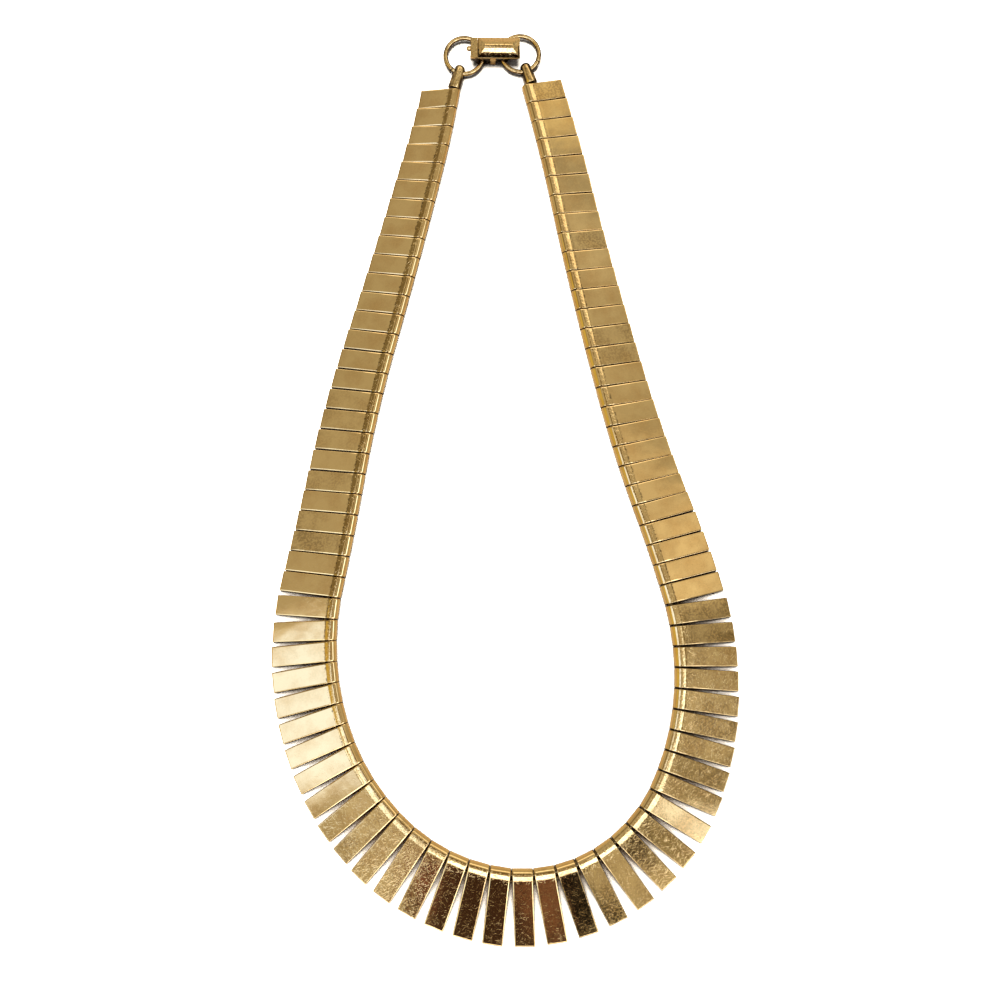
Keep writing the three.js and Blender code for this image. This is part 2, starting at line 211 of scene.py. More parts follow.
def mattCard():
    # matt white card: a pale ground with no shine, with painted shade in the slits between the plates and a
    # darker copy where the metal mirrors it
    matt = bpy.data.materials.new("mattCard")
    matt.use_nodes = True
    tree = matt.node_tree
    shader = tree.nodes["Principled BSDF"]
    shader.inputs["Roughness"].default_value = studio["cardRoughness"]
    shader.inputs["Specular IOR Level"].default_value = 0.0
    # painted shade: in the slits between the plates, where little light gets down and what does has been
    # round on brown metal, the card's colour is darkened to tan and brown by how much open sky is found
    # around it
    openSky = addNode(tree, "ShaderNodeAmbientOcclusion", {"samples": 8, "Distance": studio["slitReach"]})
    paper = linear(studio["slitShadeBrown"])
    for (start, end), colour in ((studio["slitTans"], "slitTan"), (studio["slitClears"], "card")):
        reached = addNode(tree, "ShaderNodeMapRange", {
            **easing, "From Min": start, "From Max": end, "Value": openSky.outputs["AO"]})
        paper = addNode(tree, "ShaderNodeMix", {
            **blend, 0: reached, 6: paper, 7: linear(studio[colour])}).outputs[2]
    # painted shade: where the metal mirrors the card, it is given a darker colour than where it is seen
    # straight on
    ray = addNode(tree, "ShaderNodeLightPath")
    shade = addNode(tree, "ShaderNodeMix", {
        **blend, 0: ray.outputs["Is Camera Ray"], 6: linear(studio["cardMirrored"]), 7: paper})
    tree.links.new(shade.outputs[2], shader.inputs["Base Color"])
    return matt


def makeFloor():
    bpy.ops.mesh.primitive_plane_add(size=studio["floorSize"], location=(0, 0, studio["floorLevel"]))
    floor = bpy.context.object
    floor.name = "floor"
    floor.data.materials.append(mattCard())
    # comes from behind, lights the card and stays out of the mirror of the metal
    bpy.ops.object.light_add(type="SUN", location=(0, 0, 1))
    lamp = bpy.context.object
    lamp.name = "softSun"
    lamp.data.energy = studio["sun"]
    lamp.data.angle = math.radians(studio["sunSoftness"])
    lamp.rotation_euler = Vector(studio["sunFrom"]).to_track_quat("Z", "Y").to_euler()
    lamp.visible_glossy = False


# ---- working by hand

def deselectAll():
    bpy.ops.object.select_all(action="DESELECT")


def workOn(*pieces):
    deselectAll()
    for piece in pieces:
        piece.select_set(True)
    bpy.context.view_layer.objects.active = pieces[0]


def editing(piece):
    workOn(piece)
    bpy.ops.object.mode_set(mode="EDIT")


def doneEditing():
    bpy.ops.object.mode_set(mode="OBJECT")


def pick(piece, kind, test):
    bpy.ops.mesh.select_mode(type=kind)
    bpy.ops.mesh.select_all(action="DESELECT")
    shape = bmesh.from_edit_mesh(piece.data)
    found = {"VERT": shape.verts, "EDGE": shape.edges, "FACE": shape.faces}[kind]
    for part in found:
        if test(part):
            part.select_set(True)
    shape.select_flush_mode()
    bmesh.update_edit_mesh(piece.data)


def cutAcross(place, direction):
    bpy.ops.mesh.select_all(action="SELECT")
    bpy.ops.mesh.bisect(plane_co=place, plane_no=direction)


def roundEdges(width, steps):
    bpy.ops.mesh.bevel(offset=width, segments=steps, affect="EDGES", clamp_overlap=True)


def bevelPiece(piece, width, steps, test=lambda e: True):
    editing(piece)
    pick(piece, "EDGE", test)
    roundEdges(width, steps)
    doneEditing()


def isSharp(e, angle):
    return len(e.link_faces) == 2 and e.calc_face_angle(0) > angle


def applyAll(piece):
    workOn(piece)
    for modifier in list(piece.modifiers):
        bpy.ops.object.modifier_apply(modifier=modifier.name)


def settleNormals(piece):
    editing(piece)
    bpy.ops.mesh.select_all(action="SELECT")
    bpy.ops.mesh.remove_doubles(threshold=near / 10)
    bpy.ops.mesh.normals_make_consistent(inside=False)
    doneEditing()


def smooth(piece, angle):
    # edges sharper than the angle, in degrees, stay crisp
    workOn(piece)
    bpy.ops.object.shade_smooth_by_angle(angle=math.radians(angle))
    weighted = piece.modifiers.new("even", "WEIGHTED_NORMAL")
    weighted.keep_sharp = True
    applyAll(piece)


def copyOf(piece, name):
    twin = piece.copy()
    twin.data = piece.data.copy()
    twin.name = name
    scene.collection.objects.link(twin)
    return twin


def joinAll(pieces, name):
    workOn(*pieces)
    bpy.ops.object.join()
    pieces[0].name = name
    return pieces[0]


def bakePlace(piece):
    piece.data.transform(piece.matrix_world)
    piece.matrix_world = Matrix.Identity(4)


def drillAlongY(piece, radius, length, around, place, spread=1.0):
    # the spread widens the hole in x
    deselectAll()
    bpy.ops.mesh.primitive_cylinder_add(vertices=around, radius=radius, depth=length, location=(0, 0, 0),
                                        rotation=(math.pi / 2, 0, 0))
    bit = bpy.context.object
    bakePlace(bit)
    bit.data.transform(Matrix.Translation(place) @ Matrix.Diagonal((spread, 1, 1, 1)))
    cut = piece.modifiers.new("hole", "BOOLEAN")
    cut.operation = "DIFFERENCE"
    cut.object = bit
    cut.solver = "EXACT"
    applyAll(piece)
    bpy.data.objects.remove(bit)


def keepOnPoints(piece, name, values):
    # a number for every point of the mesh, for the material to read
    kept = piece.data.attributes.new(name, "FLOAT", "POINT")
    kept.data.foreach_set("value", values)


def paint(piece, material):
    piece.data.materials.clear()
    piece.data.materials.append(material)


def finishPiece(piece, slot, *nodes):
    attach(piece, "root")
    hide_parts(*nodes)


def middleOf(node):
    low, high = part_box(node)
    return (low + high) / 2


# ---- the line of the chain, the same walk as in the model

chain = {
    "count": 87,
    "firstLoose": 23,                    # from here to the last loose one each plate is a piece
    "lastLoose": 63,
    "closureFromStart": (0.88, 8.2),     # the left ring, seen from the first inner corner, in mm
    # link: heading, lean of the sides, distance to the next, length of the plate
    "lay": {
        0: (-100.0, 11.0, 4.66, 8.85),
        4: (-103.5, 8.0, 4.58, 9.80),
        13: (-105.0, 7.0, 4.64, 11.35),
        20: (-99.5, 4.5, 4.68, 12.75),
        25: (-101.5, 4.5, 4.72, 13.65),
        26: (-97.0, 3.0, 4.66, 13.85),
        27: (-92.5, 4.5, 4.58, 14.05),
        28: (-88.0, 3.5, 4.52, 14.30),
        32: (-70.0, 3.5, 4.52, 14.95),
        37: (-43.5, 3.0, 4.56, 16.10),
        42: (-9.0, 2.5, 4.66, 16.55),
        47: (34.5, 1.5, 4.58, 16.10),
        51: (66.0, 0.5, 4.52, 15.45),
        56: (89.0, -2.5, 4.52, 14.20),
        59: (102.0, -4.0, 4.60, 13.80),
        60: (106.0, -2.0, 4.62, 13.55),
        64: (109.5, -3.5, 4.68, 12.85),
        70: (104.5, -4.5, 4.66, 11.85),
        80: (101.5, -5.0, 4.54, 10.20),
        86: (105.0, -3.0, 4.52, 9.35),
    },
}


def layAt(number):
    marks = sorted(chain["lay"])
    after = next(m for m in marks[1:] if m >= number)
    before = marks[marks.index(after) - 1]
    t = (number - before) / (after - before)
    return [a + (b - a) * t for a, b in zip(chain["lay"][before], chain["lay"][after])]


def walkChain():
    here = middleOf("left_ring").xy - Vector(chain["closureFromStart"]) * mm
    links = []
    for number in range(chain["count"]):
        heading, lean, spacing, reach = layAt(number)
        heading, lean = math.radians(heading), math.radians(lean)
        along = Vector((math.cos(heading), math.sin(heading)))
        there = here + along * spacing * mm
        links.append({
            "middle": (here + there) / 2,
            "heading": heading,
            "lean": lean,
            "reach": reach * mm,
            "along": along,
            "outward": Vector((along.y, -along.x)),
        })
        here = there
    return links


def pointOn(link, alongBy, outwardBy, height=0.0):
    shifted = alongBy + math.tan(link["lean"]) * outwardBy
    flat = link["middle"] + link["along"] * shifted + link["outward"] * outwardBy
    return Vector((flat.x, flat.y, height))


# ---- plates

plate = {
    "width": 4.40 * mm,
    "modelWidth": 4.28 * mm,     # where the hooks are set off from
    "masterReach": 10.0 * mm,    # length of the plate that all are copied from
    "stretchFrom": 6.0 * mm,     # beyond this the master is drawn out to each plate's own length
    "topHeight": 2.65 * mm,
    "noseRound": 1.28 * mm,
    "footRound": 0.9 * mm,
    "sheet": 0.42 * mm,
    "edgeSlope": 0.24 * mm,      # the rolled-over margin left by the stamping die
    "edgeDrop": 0.052 * mm,
    "edgeRound": 0.11 * mm,
    "edgeBelow": 0.25 * mm,      # how far under the outer height the end's upper edge may lie
    "sharp": 0.8,                # radians between two faces, for an edge to be rounded
    "outerHeight": 1.38 * mm,
    # how far out and how high, in mm, down the back of the roll to the flat face
    "crest": [(1.48, 2.65), (1.6, 2.638), (1.7, 2.617), (1.85, 2.581), (2.0, 2.543), (2.15, 2.503),
              (2.3, 2.461), (2.45, 2.418), (2.53, 2.396), (2.75, 2.376), (3.2, 2.338)],
}


def modelPlate():
    half = plate["width"] / 2
    reach = plate["masterReach"]
    top = plate["topHeight"]
    deselectAll()
    bpy.ops.mesh.primitive_cube_add(size=1, location=(0, -reach / 2, top / 2),
                                    scale=(plate["width"], reach, top))
    piece = bpy.context.object
    piece.name = "plateMaster"
    bakePlace(piece)
    editing(piece)
    for out, _ in plate["crest"]:
        cutAcross((0, -out * mm, 0), (0, 1, 0))
    for out, height in plate["crest"]:
        pick(piece, "VERT", lambda v: abs(v.co.y + out * mm) < near and v.co.z > top - near)
        bpy.ops.transform.translate(value=(0, 0, height * mm - top))
    atEnd = lambda v: v.co.y < -reach + near
    pick(piece, "VERT", lambda v: atEnd(v) and v.co.z > top - near)
    bpy.ops.transform.translate(value=(0, 0, plate["outerHeight"] - top))
    # the rolled edge, above and below
    pick(piece, "EDGE", lambda e: all(v.co.y > -near and v.co.z > top - near for v in e.verts))
    roundEdges(plate["noseRound"], steps=9)
    pick(piece, "EDGE", lambda e: all(v.co.y > -near and v.co.z < near for v in e.verts))
    roundEdges(plate["footRound"], steps=5)
    # the margin falls away a little along both sides and the outer end
    inFrom = half - plate["edgeSlope"]
    for x in (inFrom, -inFrom):
        cutAcross((x, 0, 0), (1, 0, 0))
    cutAcross((0, plate["edgeSlope"] - reach, 0), (0, 1, 0))
    nose = plate["noseRound"]
    atSide = lambda v: abs(abs(v.co.x) - half) < near
    aboveFoot = lambda v: v.co.z > plate["footRound"] + near
    pick(piece, "VERT", lambda v: atSide(v) and aboveFoot(v) and v.co.y < -nose - near)
    bpy.ops.transform.translate(value=(0, 0, -plate["edgeDrop"]))
    pick(piece, "VERT", lambda v: atSide(v) and aboveFoot(v) and v.co.y > -nose - near)
    shrink = 1 - plate["edgeDrop"] / nose
    bpy.ops.transform.resize(value=(1, shrink, shrink), center_override=(0, -nose, top - nose))
    pick(piece, "VERT", lambda v: atEnd(v) and aboveFoot(v))
    bpy.ops.transform.translate(value=(0, 0, -plate["edgeDrop"]))
    # open below, then the sheet gets its thickness
    pick(piece, "FACE", lambda f: f.normal.z < -0.99 and f.calc_center_median().z < near)
    bpy.ops.mesh.delete(type="FACE")
    doneEditing()
    sheet = piece.modifiers.new("sheet", "SOLIDIFY")
    sheet.thickness = plate["sheet"]
    sheet.offset = -1
    sheet.use_even_offset = True
    applyAll(piece)
    editing(piece)
    atFoot = lambda v: v.co.z < 2 * near

    def isOuterEdge(e):
        a, b = e.verts
        if atFoot(a) and atFoot(b):
            return False
        if atSide(a) and atSide(b) and abs(a.co.x - b.co.x) < near:
            return isSharp(e, plate["sharp"])
        return atEnd(a) and atEnd(b) and min(a.co.z, b.co.z) > plate["outerHeight"] - plate["edgeBelow"]

    pick(piece, "EDGE", isOuterEdge)
    roundEdges(plate["edgeRound"], steps=6)
    doneEditing()
    return piece


def stretchPlate(piece, reach):
    editing(piece)
    pick(piece, "VERT", lambda v: v.co.y < -plate["stretchFrom"])
    bpy.ops.transform.translate(value=(0, plate["masterReach"] - reach, 0))
    doneEditing()


def skinLine(reach):
    # the top skin from the crest to the outer end, as how far out and how high
    line = [(plate["noseRound"], plate["topHeight"])]
    line += [(out * mm, high * mm) for out, high in plate["crest"]]
    line.append((reach, plate["outerHeight"]))
    return line


def skinHeight(line, out):
    nose, top = line[0]
    if out < nose:
        return top - nose + math.sqrt(max(0, nose ** 2 - (nose - out) ** 2))
    before, after = next(((a, b) for a, b in zip(line, line[1:]) if b[0] >= out), line[-2:])
    return before[1] + (after[1] - before[1]) * (out - before[0]) / (after[0] - before[0])


wear = {
    "middle": 46,            # the link at the middle of the worn stretch
    "reach": 14,             # links to each side of it
    "fade": 5,
    "least": 0.3,            # how worn the rest of the chain is, where the middle is 1
    # link: mm from the inner edge to where its brown patch starts and ends, with 20 past any plate, and how
    # brown; the patches are partly stain and partly painted dark reflection, as on links 46, 48 and 49
    "brownPatches": {16: (2.4, 20, 0.20), 17: (2.4, 20, 0.20), 18: (2.4, 20, 0.20), 20: (2.4, 20, 0.28),
               22: (5.0, 20, 0.40), 23: (2.4, 20, 0.45), 36: (2.4, 20, 0.40), 39: (2.4, 20, 0.50),
               40: (2.4, 20, 0.30), 41: (2.4, 20, 0.20), 42: (2.4, 20, 0.20), 45: (2.4, 20, 0.97),
               46: (5.6, 20, 0.97), 48: (2.4, 9.0, 0.95), 49: (2.8, 14.0, 0.90), 51: (2.4, 20, 0.30),
               52: (2.4, 20, 0.45), 53: (2.4, 20, 0.35), 54: (2.4, 20, 0.50), 55: (2.4, 20, 0.45),
               56: (2.4, 13, 0.50), 57: (2.4, 12, 0.45), 58: (2.4, 20, 0.45), 59: (2.4, 20, 0.50),
               72: (2.4, 20, 0.32), 73: (2.4, 20, 0.38), 78: (2.4, 20, 0.45), 86: (2.4, 20, 0.40)},
    # link: how many times stronger its marks are
    "scoured": {35: 1.5, 36: 2.2, 37: 2.4, 38: 3.0, 39: 2.0, 40: 1.0, 41: 0.8, 42: 0.8, 43: 0.7, 44: 0.7,
                45: 0.6, 48: 1.5, 49: 1.4, 51: 1.5, 52: 1.6, 53: 1.8, 54: 2.0, 55: 2.0, 56: 2.5, 57: 3.0,
                58: 3.0, 59: 3.0},
    "everyPatch": 0.24,
    "patchFade": 2.5,        # mm
    "shadedEdges": (45, 60),   # links whose edges are painted dark up to the top: painted shade
    "patternSeed": 100,
    "patternSpread": 40 * mm,
}


def keepPlateSpace(piece, link, number):
    # every plate carries its own coordinates, so that marks follow it and no two plates match
    points = [v.co.copy() for v in piece.data.vertices]
    chance = random.Random(wear["patternSeed"] + number)
    shift = Vector([chance.uniform(-1, 1) for _ in range(3)]) * wear["patternSpread"]
    space = piece.data.attributes.new("plateSpace", "FLOAT_VECTOR", "POINT")
    for i, point in enumerate(points):
        space.data[i].vector = point + shift
    keepOnPoints(piece, "fromInnerEdge", [-point.y / mm for point in points])
    line = skinLine(link["reach"])
    keepOnPoints(piece, "belowTop", [(skinHeight(line, -point.y) - point.z) / mm for point in points])
    # the front of a collar rubs most
    rubbed = min(1, max(wear["least"], (wear["reach"] - abs(number - wear["middle"])) / wear["fade"]))
    keepOnPoints(piece, "worn", [rubbed * wear["scoured"].get(number, 1)] * len(points))
    # brown patches on the face, partly stain and partly painted dark reflection
    nearEnd, farEnd, brown = wear["brownPatches"].get(number, (0, 20, wear["everyPatch"] * rubbed))
    inside = [min(-point.y / mm - nearEnd, farEnd + point.y / mm) / wear["patchFade"] + 0.5
              for point in points]
    keepOnPoints(piece, "brownPatch", [brown * min(1, max(0, share)) for share in inside])
    firstShaded, lastShaded = wear["shadedEdges"]
    keepOnPoints(piece, "edgeShaded", [float(firstShaded <= number <= lastShaded)] * len(points))


hang = {
    "seed": 500,
    "loose": 0.22,       # degrees that any plate may stand off from its neighbours
    # link: degrees about its length and across it
    "turned": {50: (0.0, 1.3), 45: (0.0, 0.0), 46: (0.0, 0.0)},
}


def placePlate(master, link, number):
    piece = copyOf(master, f"plate{number:02d}")
    stretchPlate(piece, link["reach"])
    keepPlateSpace(piece, link, number)
    chance = random.Random(hang["seed"] + number)
    roll, pitch = (chance.uniform(-1, 1) * hang["loose"] for _ in range(2))
    if number in hang["turned"]:
        roll, pitch = hang["turned"][number]
    lean = Matrix.Identity(4)
    lean[0][1] = -math.tan(link["lean"])
    sway = Matrix.Rotation(math.radians(roll), 4, "Y") @ Matrix.Rotation(math.radians(pitch), 4, "X")
    turn = Matrix.Rotation(link["heading"], 4, "Z")
    piece.data.transform(lean)
    piece.data.transform(sway)
    lowest = min(v.co.z for v in piece.data.vertices)
    piece.data.transform(Matrix.Translation(pointOn(link, 0, 0, max(0.0, -lowest))) @ turn)
    return piece


# ---- rings

ring = {
    "radius": 4.35 * mm,
    "wire": 0.54 * mm,
    "modelWire": 0.55 * mm,      # the wire's radius in the CAD rings, whose boxes place the clasp
    "height": 1.4 * mm,
    "butt": 2.2,                 # degrees left open where the wire's ends meet
    "buttRound": 0.07 * mm,
    "sharp": 1.2,                # radians
    "leftButtAt": -133,
    "rightButtAt": -26,
}


def modelRing(name, node, buttAt):
    middle = middleOf(node)
    deselectAll()
    bpy.ops.mesh.primitive_circle_add(vertices=20, radius=ring["wire"], fill_type="NGON",
                                      location=(ring["radius"], 0, 0), rotation=(math.pi / 2, 0, 0))
    piece = bpy.context.object
    piece.name = name
    bakePlace(piece)
    editing(piece)
    bpy.ops.mesh.select_all(action="SELECT")
    bpy.ops.mesh.spin(steps=110, angle=math.radians(360 - ring["butt"]), center=(0, 0, 0), axis=(0, 0, 1))
    doneEditing()
    settleNormals(piece)
    # the cut ends of the wire are eased
    bevelPiece(piece, ring["buttRound"], 2, lambda e: isSharp(e, ring["sharp"]))
    turn = Matrix.Rotation(math.radians(buttAt + ring["butt"] / 2), 4, "Z")
    piece.data.transform(Matrix.Translation((middle.x, middle.y, ring["height"])) @ turn)
    smooth(piece, 50)
    return piece


# ---- end hooks

hook = {
    "radius": 1.45 * mm,
    "gap": 0.4 * mm,
    "eye": 0.9 * mm,
    "eyeRound": 0.09 * mm,
    "pastEye": 1.75 * mm,
    # share of the length, width and height there, for the swelling of the bar
    "swell": [(0.18, 1.0), (0.4, 0.99), (0.62, 0.96), (0.82, 0.93)],
    "tip": 0.86,
    "tipWidth": 0.92,            # how much narrower than high the bar grows towards its tip
    "tipRound": 0.85 * mm,
    "footRound": 0.14 * mm,
    "sharp": 0.7,                # radians
    "stem": 0.4 * mm,
    "stemHeight": 1.1 * mm,
    "stemReach": 1.7 * mm,       # into the end plate
    "stemOverlap": 0.8 * mm,     # into the bar
    "leftReach": 1.5 * mm,
    "rightReach": 2.4 * mm,
}


def modelHook(name, link, side, reach, ringNode):
    seat = pointOn(link, side * (plate["modelWidth"] / 2 + hook["gap"]), reach)
    toRing = (middleOf(ringNode) - seat).xy.to_3d()
    eyeAt = toRing.length - ring["radius"]
    length = eyeAt + hook["pastEye"]
    radius = hook["radius"]
    deselectAll()
    bpy.ops.mesh.primitive_cylinder_add(vertices=40, radius=radius, depth=length, location=(length / 2, 0, 0),
                                        rotation=(0, math.pi / 2, 0))
    piece = bpy.context.object
    piece.name = name
    bakePlace(piece)
    editing(piece)
    for share, _ in hook["swell"]:
        cutAcross((share * length, 0, 0), (1, 0, 0))
    for share, wide in hook["swell"]:
        pick(piece, "VERT", lambda v: abs(v.co.x - share * length) < near)
        squeeze = 1 + (hook["tipWidth"] - 1) * share
        bpy.ops.transform.resize(value=(1, wide * squeeze, wide), center_override=(share * length, 0, 0))
    pick(piece, "VERT", lambda v: v.co.x > length - near)
    bpy.ops.transform.resize(value=(1, hook["tip"] * hook["tipWidth"], hook["tip"]),
                             center_override=(length, 0, 0))
    pick(piece, "EDGE", lambda e: all(v.co.x > length - near for v in e.verts))
    roundEdges(hook["tipRound"], steps=8)
    pick(piece, "EDGE", lambda e: all(v.co.x < near for v in e.verts))
    roundEdges(hook["footRound"], steps=3)
    doneEditing()
    # the eye goes across the bar, for the wire of the ring
    drillAlongY(piece, radius=hook["eye"], length=6 * mm, around=32, place=(eyeAt, 0, 0))
    onEye = lambda v: abs(math.hypot(v.co.x - eyeAt, v.co.z) - hook["eye"]) < 2 * near
    bevelPiece(piece, hook["eyeRound"], 2,
               lambda e: isSharp(e, hook["sharp"]) and all(onEye(v) for v in e.verts))
    smooth(piece, 40)
    turn = Matrix.Rotation(math.atan2(toRing.y, toRing.x), 4, "Z")
    piece.data.transform(Matrix.Translation((seat.x, seat.y, radius)) @ turn)
    inside = pointOn(link, side * (plate["modelWidth"] / 2 - hook["stemReach"]), reach, hook["stemHeight"])
    outside = Vector((seat.x, seat.y, hook["stemHeight"])) + toRing.normalized() * hook["stemOverlap"]
    stem = modelRod(name + "Stem", [inside, outside], hook["stem"], 16)
    return joinAll([piece, stem], name)


def modelRod(name, points, radius, around):
    deselectAll()
    bpy.ops.mesh.primitive_circle_add(vertices=around, radius=radius, fill_type="NGON", location=(0, 0, 0))
    piece = bpy.context.object
    piece.name = name
    steps = [b - a for a, b in zip(points, points[1:])]
    first = steps[0].to_track_quat("Z", "Y").to_matrix().to_4x4()
    piece.data.transform(Matrix.Translation(points[0]) @ first)
    editing(piece)
    bpy.ops.mesh.select_all(action="SELECT")
    for i, step in enumerate(steps):
        bpy.ops.mesh.extrude_region_move(TRANSFORM_OT_translate={"value": tuple(step)})
        if i + 1 < len(steps):
            bend = step.xy.angle_signed(steps[i + 1].xy) / -2
            bpy.ops.transform.rotate(value=bend, orient_axis="Z", center_override=tuple(points[i + 1]))
    doneEditing()
    settleNormals(piece)
    smooth(piece, 50)
    return piece


# ---- clasp

clasp = {
    "length": 9.8 * mm,
    "depth": 5.0 * mm,
    "overlap": 0.1 * mm,         # how far its parts run into each other
    "underside": 3.15 * mm,
    "rimLow": 3.62 * mm,
    "rimTop": 3.84 * mm,
    "rimInset": 0.16 * mm,
    "rimRound": 0.07 * mm,
    "wallInset": 0.2 * mm,
    "brow": 4.66 * mm,           # where the slopes grow gentler
    "browWidth": 2.7 * mm,
    "browLength": 7.8 * mm,
    "browRound": 0.35 * mm,
    "ridge": 5.28 * mm,
    "ridgeLength": 6.0 * mm,
    "ridgeWidth": 0.7 * mm,
    "hipRound": 0.5 * mm,
    "trayLow": 2.1 * mm,
    "trayHalfDepth": 2.25 * mm,
    "trayInset": 0.5 * mm,
    "trayRound": 0.3 * mm,
    "tabLow": 0.4 * mm,
    "tabInset": 0.4 * mm,
    "tabPlay": 0.3 * mm,         # between the tab and the left loop
    "tabRound": 0.1 * mm,
    # height in mm and width as a share, for the waist of the tab
    "tabWaist": [(1.1, 0.84), (1.9, 0.8), (2.6, 1.2)],
    "loopReach": 1.35 * mm,
    "loopOuter": 1.55 * mm,
    "loopDepth": 2.6 * mm,
    "loopTop": 2.85 * mm,
    "loopHole": 0.9 * mm,
    "loopHoleSpread": 1.12,
    "loopHoleShift": 0.1 * mm,
    "loopRound": 0.7 * mm,
    "tongueEnd": 1.6 * mm,
    "tongueHalfDepth": 2.42 * mm,
    "tongueGap": 0.03 * mm,
    "tongueLow": 2.3 * mm,
    "tongueTop": 3.98 * mm,
    "tongueRound": 0.26 * mm,
    "soleInset": 0.06 * mm,
    "soleRound": 0.16 * mm,
    "knob": 0.62 * mm,
    "knobOut": 0.35 * mm,
    "knobHeight": 3.3 * mm,
    "neckFrom": 0.42 * mm,       # from the middle of the knob
    "neckWidth": 0.8,
    "neckLonger": 0.12 * mm,
}


def addBlock(name, x0, x1, y0, y1, z0, z1):
    deselectAll()
    bpy.ops.mesh.primitive_cube_add(size=1, location=((x0 + x1) / 2, (y0 + y1) / 2, (z0 + z1) / 2),
                                    scale=(x1 - x0, y1 - y0, z1 - z0))
    piece = bpy.context.object
    piece.name = name
    bakePlace(piece)
    return piece


def modelLid():
    halfLength, halfDepth = clasp["length"] / 2, clasp["depth"] / 2
    piece = addBlock("claspLid", -halfLength, halfLength, -halfDepth, halfDepth,
                     clasp["rimLow"], clasp["rimTop"])
    editing(piece)
    # the hipped top rises inside a narrow rim
    pick(piece, "FACE", lambda f: f.normal.z > 0.9)
    bpy.ops.mesh.inset(thickness=clasp["rimInset"], depth=0)
    along, across = 2 * (halfLength - clasp["rimInset"]), 2 * (halfDepth - clasp["rimInset"])
    level = clasp["rimTop"]
    for newAlong, newAcross, newLevel in ((clasp["browLength"], clasp["browWidth"], clasp["brow"]),
                                          (clasp["ridgeLength"], clasp["ridgeWidth"], clasp["ridge"])):
        bpy.ops.mesh.extrude_region_move(TRANSFORM_OT_translate={"value": (0, 0, newLevel - level)})
        bpy.ops.transform.resize(value=(newAlong / along, newAcross / across, 1),
                                 center_override=(0, 0, newLevel))
        along, across, level = newAlong, newAcross, newLevel
    # walls under the rim
    pick(piece, "FACE", lambda f: f.normal.z < -0.9)
    bpy.ops.mesh.inset(thickness=clasp["wallInset"], depth=0)
    wallsEnd = (0, 0, clasp["underside"] - clasp["rimLow"])
    bpy.ops.mesh.extrude_region_move(TRANSFORM_OT_translate={"value": wallsEnd})
    for fold, width, steps in ((clasp["brow"], clasp["browRound"], 3),
                               (clasp["ridge"], clasp["hipRound"], 5)):
        pick(piece, "EDGE", lambda e: all(abs(v.co.z - fold) < near for v in e.verts))
        roundEdges(width, steps)
    onRim = lambda v: max(abs(v.co.x) - halfLength, abs(v.co.y) - halfDepth) > -near
    pick(piece, "EDGE", lambda e: all(onRim(v) for v in e.verts))
    roundEdges(clasp["rimRound"], steps=2)
    doneEditing()
    smooth(piece, 38)
    # 1 marks the foot of the front slope, painted brown there as a painted shade on the side that faces the
    # front
    foot = -halfDepth + clasp["rimInset"] / 2
    keepOnPoints(piece, "brownPatch", [float(foot < v.co.y < 0 and abs(v.co.z - clasp["rimTop"]) < 5 * near)
                                    for v in piece.data.vertices])
    return piece


def modelLoop(name, x0, x1, ringY, top, wireX, side):
    piece = addBlock(name, x0, x1, ringY - clasp["loopDepth"] / 2, ringY + clasp["loopDepth"] / 2, 0, top)
    bevelPiece(piece, clasp["loopRound"], 6, lambda e: all(v.co.z < near for v in e.verts)
               and abs(e.verts[0].co.x - e.verts[1].co.x) < near)
    drillAlongY(piece, radius=clasp["loopHole"], length=9 * mm, around=36, spread=clasp["loopHoleSpread"],
                place=(wireX + side * clasp["loopHoleShift"], 0, ring["height"]))
    smooth(piece, 40)
    return piece


def modelClaspBox(leftWireX, rightWireX, rightRingY, bright, dull):
    halfLength, halfDepth = clasp["length"] / 2, clasp["depth"] / 2
    overlap, trayLow = clasp["overlap"], clasp["trayLow"]
    lid = modelLid()
    tabLeft = leftWireX + clasp["loopReach"] + clasp["tabPlay"]
    tabRight = rightWireX - clasp["loopReach"]
    tabMiddle = (tabLeft + tabRight) / 2
    top = clasp["underside"] + overlap
    tray = addBlock("tray", tabRight - overlap, halfLength - clasp["trayInset"], -clasp["trayHalfDepth"],
                    clasp["trayHalfDepth"], trayLow, top)
    bevelPiece(tray, clasp["trayRound"], 4, lambda e: all(v.co.z < trayLow + near for v in e.verts)
               or abs(e.verts[0].co.z - e.verts[1].co.z) > near)
    smooth(tray, 40)
    tab = addBlock("tab", tabLeft, tabRight, -halfDepth, halfDepth - clasp["tabInset"], clasp["tabLow"], top)
    editing(tab)
    for height, _ in clasp["tabWaist"]:
        cutAcross((0, 0, height * mm), (0, 0, 1))
    for height, wide in clasp["tabWaist"]:
        pick(tab, "VERT", lambda v: abs(v.co.z - height * mm) < near)
        bpy.ops.transform.resize(value=(wide, 1, 1), center_override=(tabMiddle, 0, 0))
    doneEditing()
    bevelPiece(tab, clasp["tabRound"], 3, lambda e: abs(e.verts[0].co.y - e.verts[1].co.y) < near
               and abs(e.verts[0].co.z - e.verts[1].co.z) > near)
    smooth(tab, 30)
    # -1 keeps the tab bright, clear of the brown and of the painted shade under the lid
    keepOnPoints(tab, "brownPatch", [-1.0] * len(tab.data.vertices))
    loop = modelLoop("loop", tabRight - overlap, rightWireX + clasp["loopOuter"], rightRingY, top,
                     rightWireX, 1)
    for part, material in ((lid, bright), (tray, dull), (tab, bright), (loop, dull)):
        paint(part, material)
    return joinAll([lid, tray, tab, loop], "claspBox")


